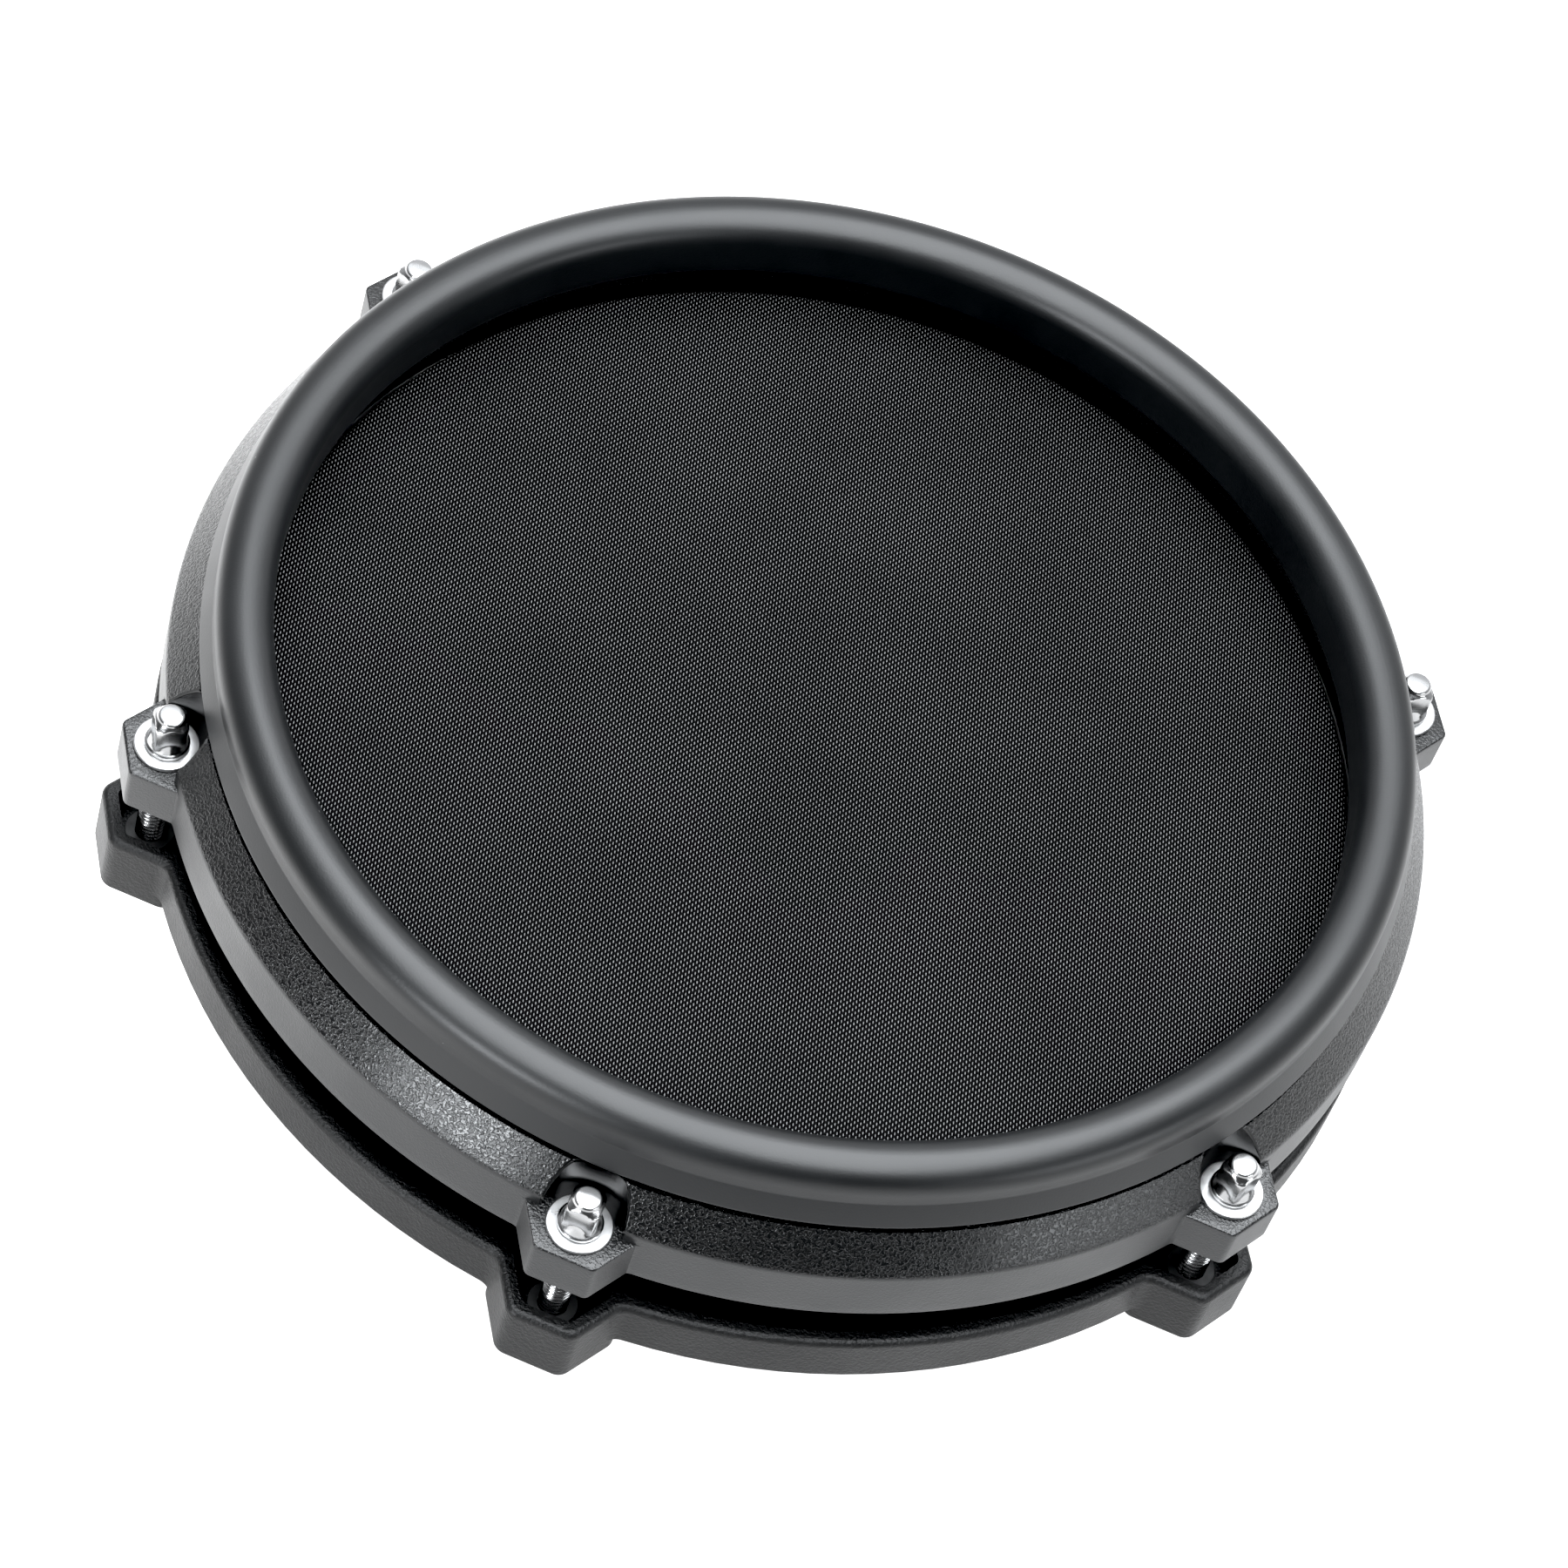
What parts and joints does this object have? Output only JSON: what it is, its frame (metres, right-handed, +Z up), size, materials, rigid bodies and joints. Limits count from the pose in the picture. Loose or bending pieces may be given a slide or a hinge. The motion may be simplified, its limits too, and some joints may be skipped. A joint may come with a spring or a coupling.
{
  "type": "electronic practice pad",
  "caption": "Round electronic practice pad: tensioned woven mesh head in a hoop with a soft rubber rim, on a shallow shell with sensors, a lead socket and a clamp for a stand's rod.",
  "frame": {"origin": "centre of the shell's underside, on the surface it rests on", "axes": "+Z up along the head's axis, +Y towards the rod clamp, +X along two opposite lugs"},
  "size_m": [0.2564, 0.238, 0.0755],
  "materials": {
    "shell_plastic": "moulded black ABS, satin, with a fine textured lip",
    "hoop_plastic": "moulded black ABS, satin wall and leather-grain shoulder",
    "rim_rubber": "soft satin black rubber",
    "mesh": "fine woven polyester mesh, dark grey",
    "rod_chrome": "polished chrome plate",
    "washer_steel": "bright zinc plate",
    "aluminium": "plain drawn aluminium",
    "brass": "plain turned brass",
    "insert_steel": "blackened turned steel",
    "zinc_steel": "zinc-plated steel",
    "foam": "open-cell foam",
    "ceramic": "silvered ceramic",
    "jack_plastic": "moulded black nylon",
    "nickel": "nickel plate",
    "lead_insulation": "PVC insulation",
    "knob_plastic": "moulded black nylon"
  },
  "bodies": {
    "shell": {"base_shell": "shell_plastic", "drum_collar": "shell_plastic", "threaded_inserts": "insert_steel", "mesh_head": "mesh", "mesh_edge": "mesh", "sensor_bridge": "zinc_steel", "bridge_screws": "zinc_steel", "piezo_pad": "foam", "head_piezo": "brass", "head_piezo_ceramic": "ceramic", "trigger_cone": "foam", "rim_piezo_pad": "foam", "rim_piezo": "brass", "jack_body": "jack_plastic", "jack_terminals": "nickel", "jack_washer": "nickel", "jack_nut": "nickel", "head_sensor_lead": "lead_insulation", "rim_sensor_lead": "lead_insulation", "clamp_housing": "shell_plastic", "clamp_housing_screws": "zinc_steel", "clamp_nut": "zinc_steel"},
    "hoop": {"top_hoop": "hoop_plastic", "rubber_rim": "rim_rubber", "flesh_hoop": "aluminium", "rod_washer_1": "washer_steel", "rod_washer_2": "washer_steel", "rod_washer_3": "washer_steel", "rod_washer_4": "washer_steel", "rod_washer_5": "washer_steel", "rod_washer_6": "washer_steel"},
    "rod_1": {"tension_rod_1": "rod_chrome"},
    "rod_2": {"tension_rod_2": "rod_chrome"},
    "rod_3": {"tension_rod_3": "rod_chrome"},
    "rod_4": {"tension_rod_4": "rod_chrome"},
    "rod_5": {"tension_rod_5": "rod_chrome"},
    "rod_6": {"tension_rod_6": "rod_chrome"},
    "shoe": {"clamp_shoe": "zinc_steel"},
    "screw": {"clamp_screw": "zinc_steel", "clamp_knob": "knob_plastic"}
  },
  "joints": [
    {"name": "hoop_tension", "type": "slide", "parent": "shell", "child": "hoop", "axis": [0, 0, 1], "range_m": [-0.003, 0.002], "deforming": ["mesh_edge"]},
    {"name": "tension_rod_1_turn", "type": "hinge", "parent": "hoop", "child": "rod_1", "pos_m": [0.1194, 0, 0.052], "axis": [0, 0, 1], "range_deg": [-1023, 683]},
    {"name": "tension_rod_2_turn", "type": "hinge", "parent": "hoop", "child": "rod_2", "pos_m": [0.0597, 0.1034, 0.052], "axis": [0, 0, 1], "range_deg": [-1023, 683]},
    {"name": "tension_rod_3_turn", "type": "hinge", "parent": "hoop", "child": "rod_3", "pos_m": [-0.0597, 0.1034, 0.052], "axis": [0, 0, 1], "range_deg": [-1023, 683]},
    {"name": "tension_rod_4_turn", "type": "hinge", "parent": "hoop", "child": "rod_4", "pos_m": [-0.1194, 0, 0.052], "axis": [0, 0, 1], "range_deg": [-1023, 683]},
    {"name": "tension_rod_5_turn", "type": "hinge", "parent": "hoop", "child": "rod_5", "pos_m": [-0.0597, -0.1034, 0.052], "axis": [0, 0, 1], "range_deg": [-1023, 683]},
    {"name": "tension_rod_6_turn", "type": "hinge", "parent": "hoop", "child": "rod_6", "pos_m": [0.0597, -0.1034, 0.052], "axis": [0, 0, 1], "range_deg": [-1023, 683]},
    {"name": "clamp_shoe_slide", "type": "slide", "parent": "shell", "child": "shoe", "axis": [1, 0, 0], "range_m": [-0.002, 0.002]},
    {"name": "clamp_knob_turn", "type": "hinge", "parent": "shoe", "child": "screw", "pos_m": [0.02, 0.108, 0.0102], "axis": [1, 0, 0], "range_deg": [-718, 718]}
  ],
  "couplings": [
    {"joint": "tension_rod_1_turn", "follows": "hoop_tension", "rad_per_m": 5936.9},
    {"joint": "tension_rod_2_turn", "follows": "hoop_tension", "rad_per_m": 5936.9},
    {"joint": "tension_rod_3_turn", "follows": "hoop_tension", "rad_per_m": 5936.9},
    {"joint": "tension_rod_4_turn", "follows": "hoop_tension", "rad_per_m": 5936.9},
    {"joint": "tension_rod_5_turn", "follows": "hoop_tension", "rad_per_m": 5936.9},
    {"joint": "tension_rod_6_turn", "follows": "hoop_tension", "rad_per_m": 5936.9},
    {"joint": "clamp_shoe_slide", "follows": "clamp_knob_turn", "m_per_rad": 0.00015915}
  ]
}
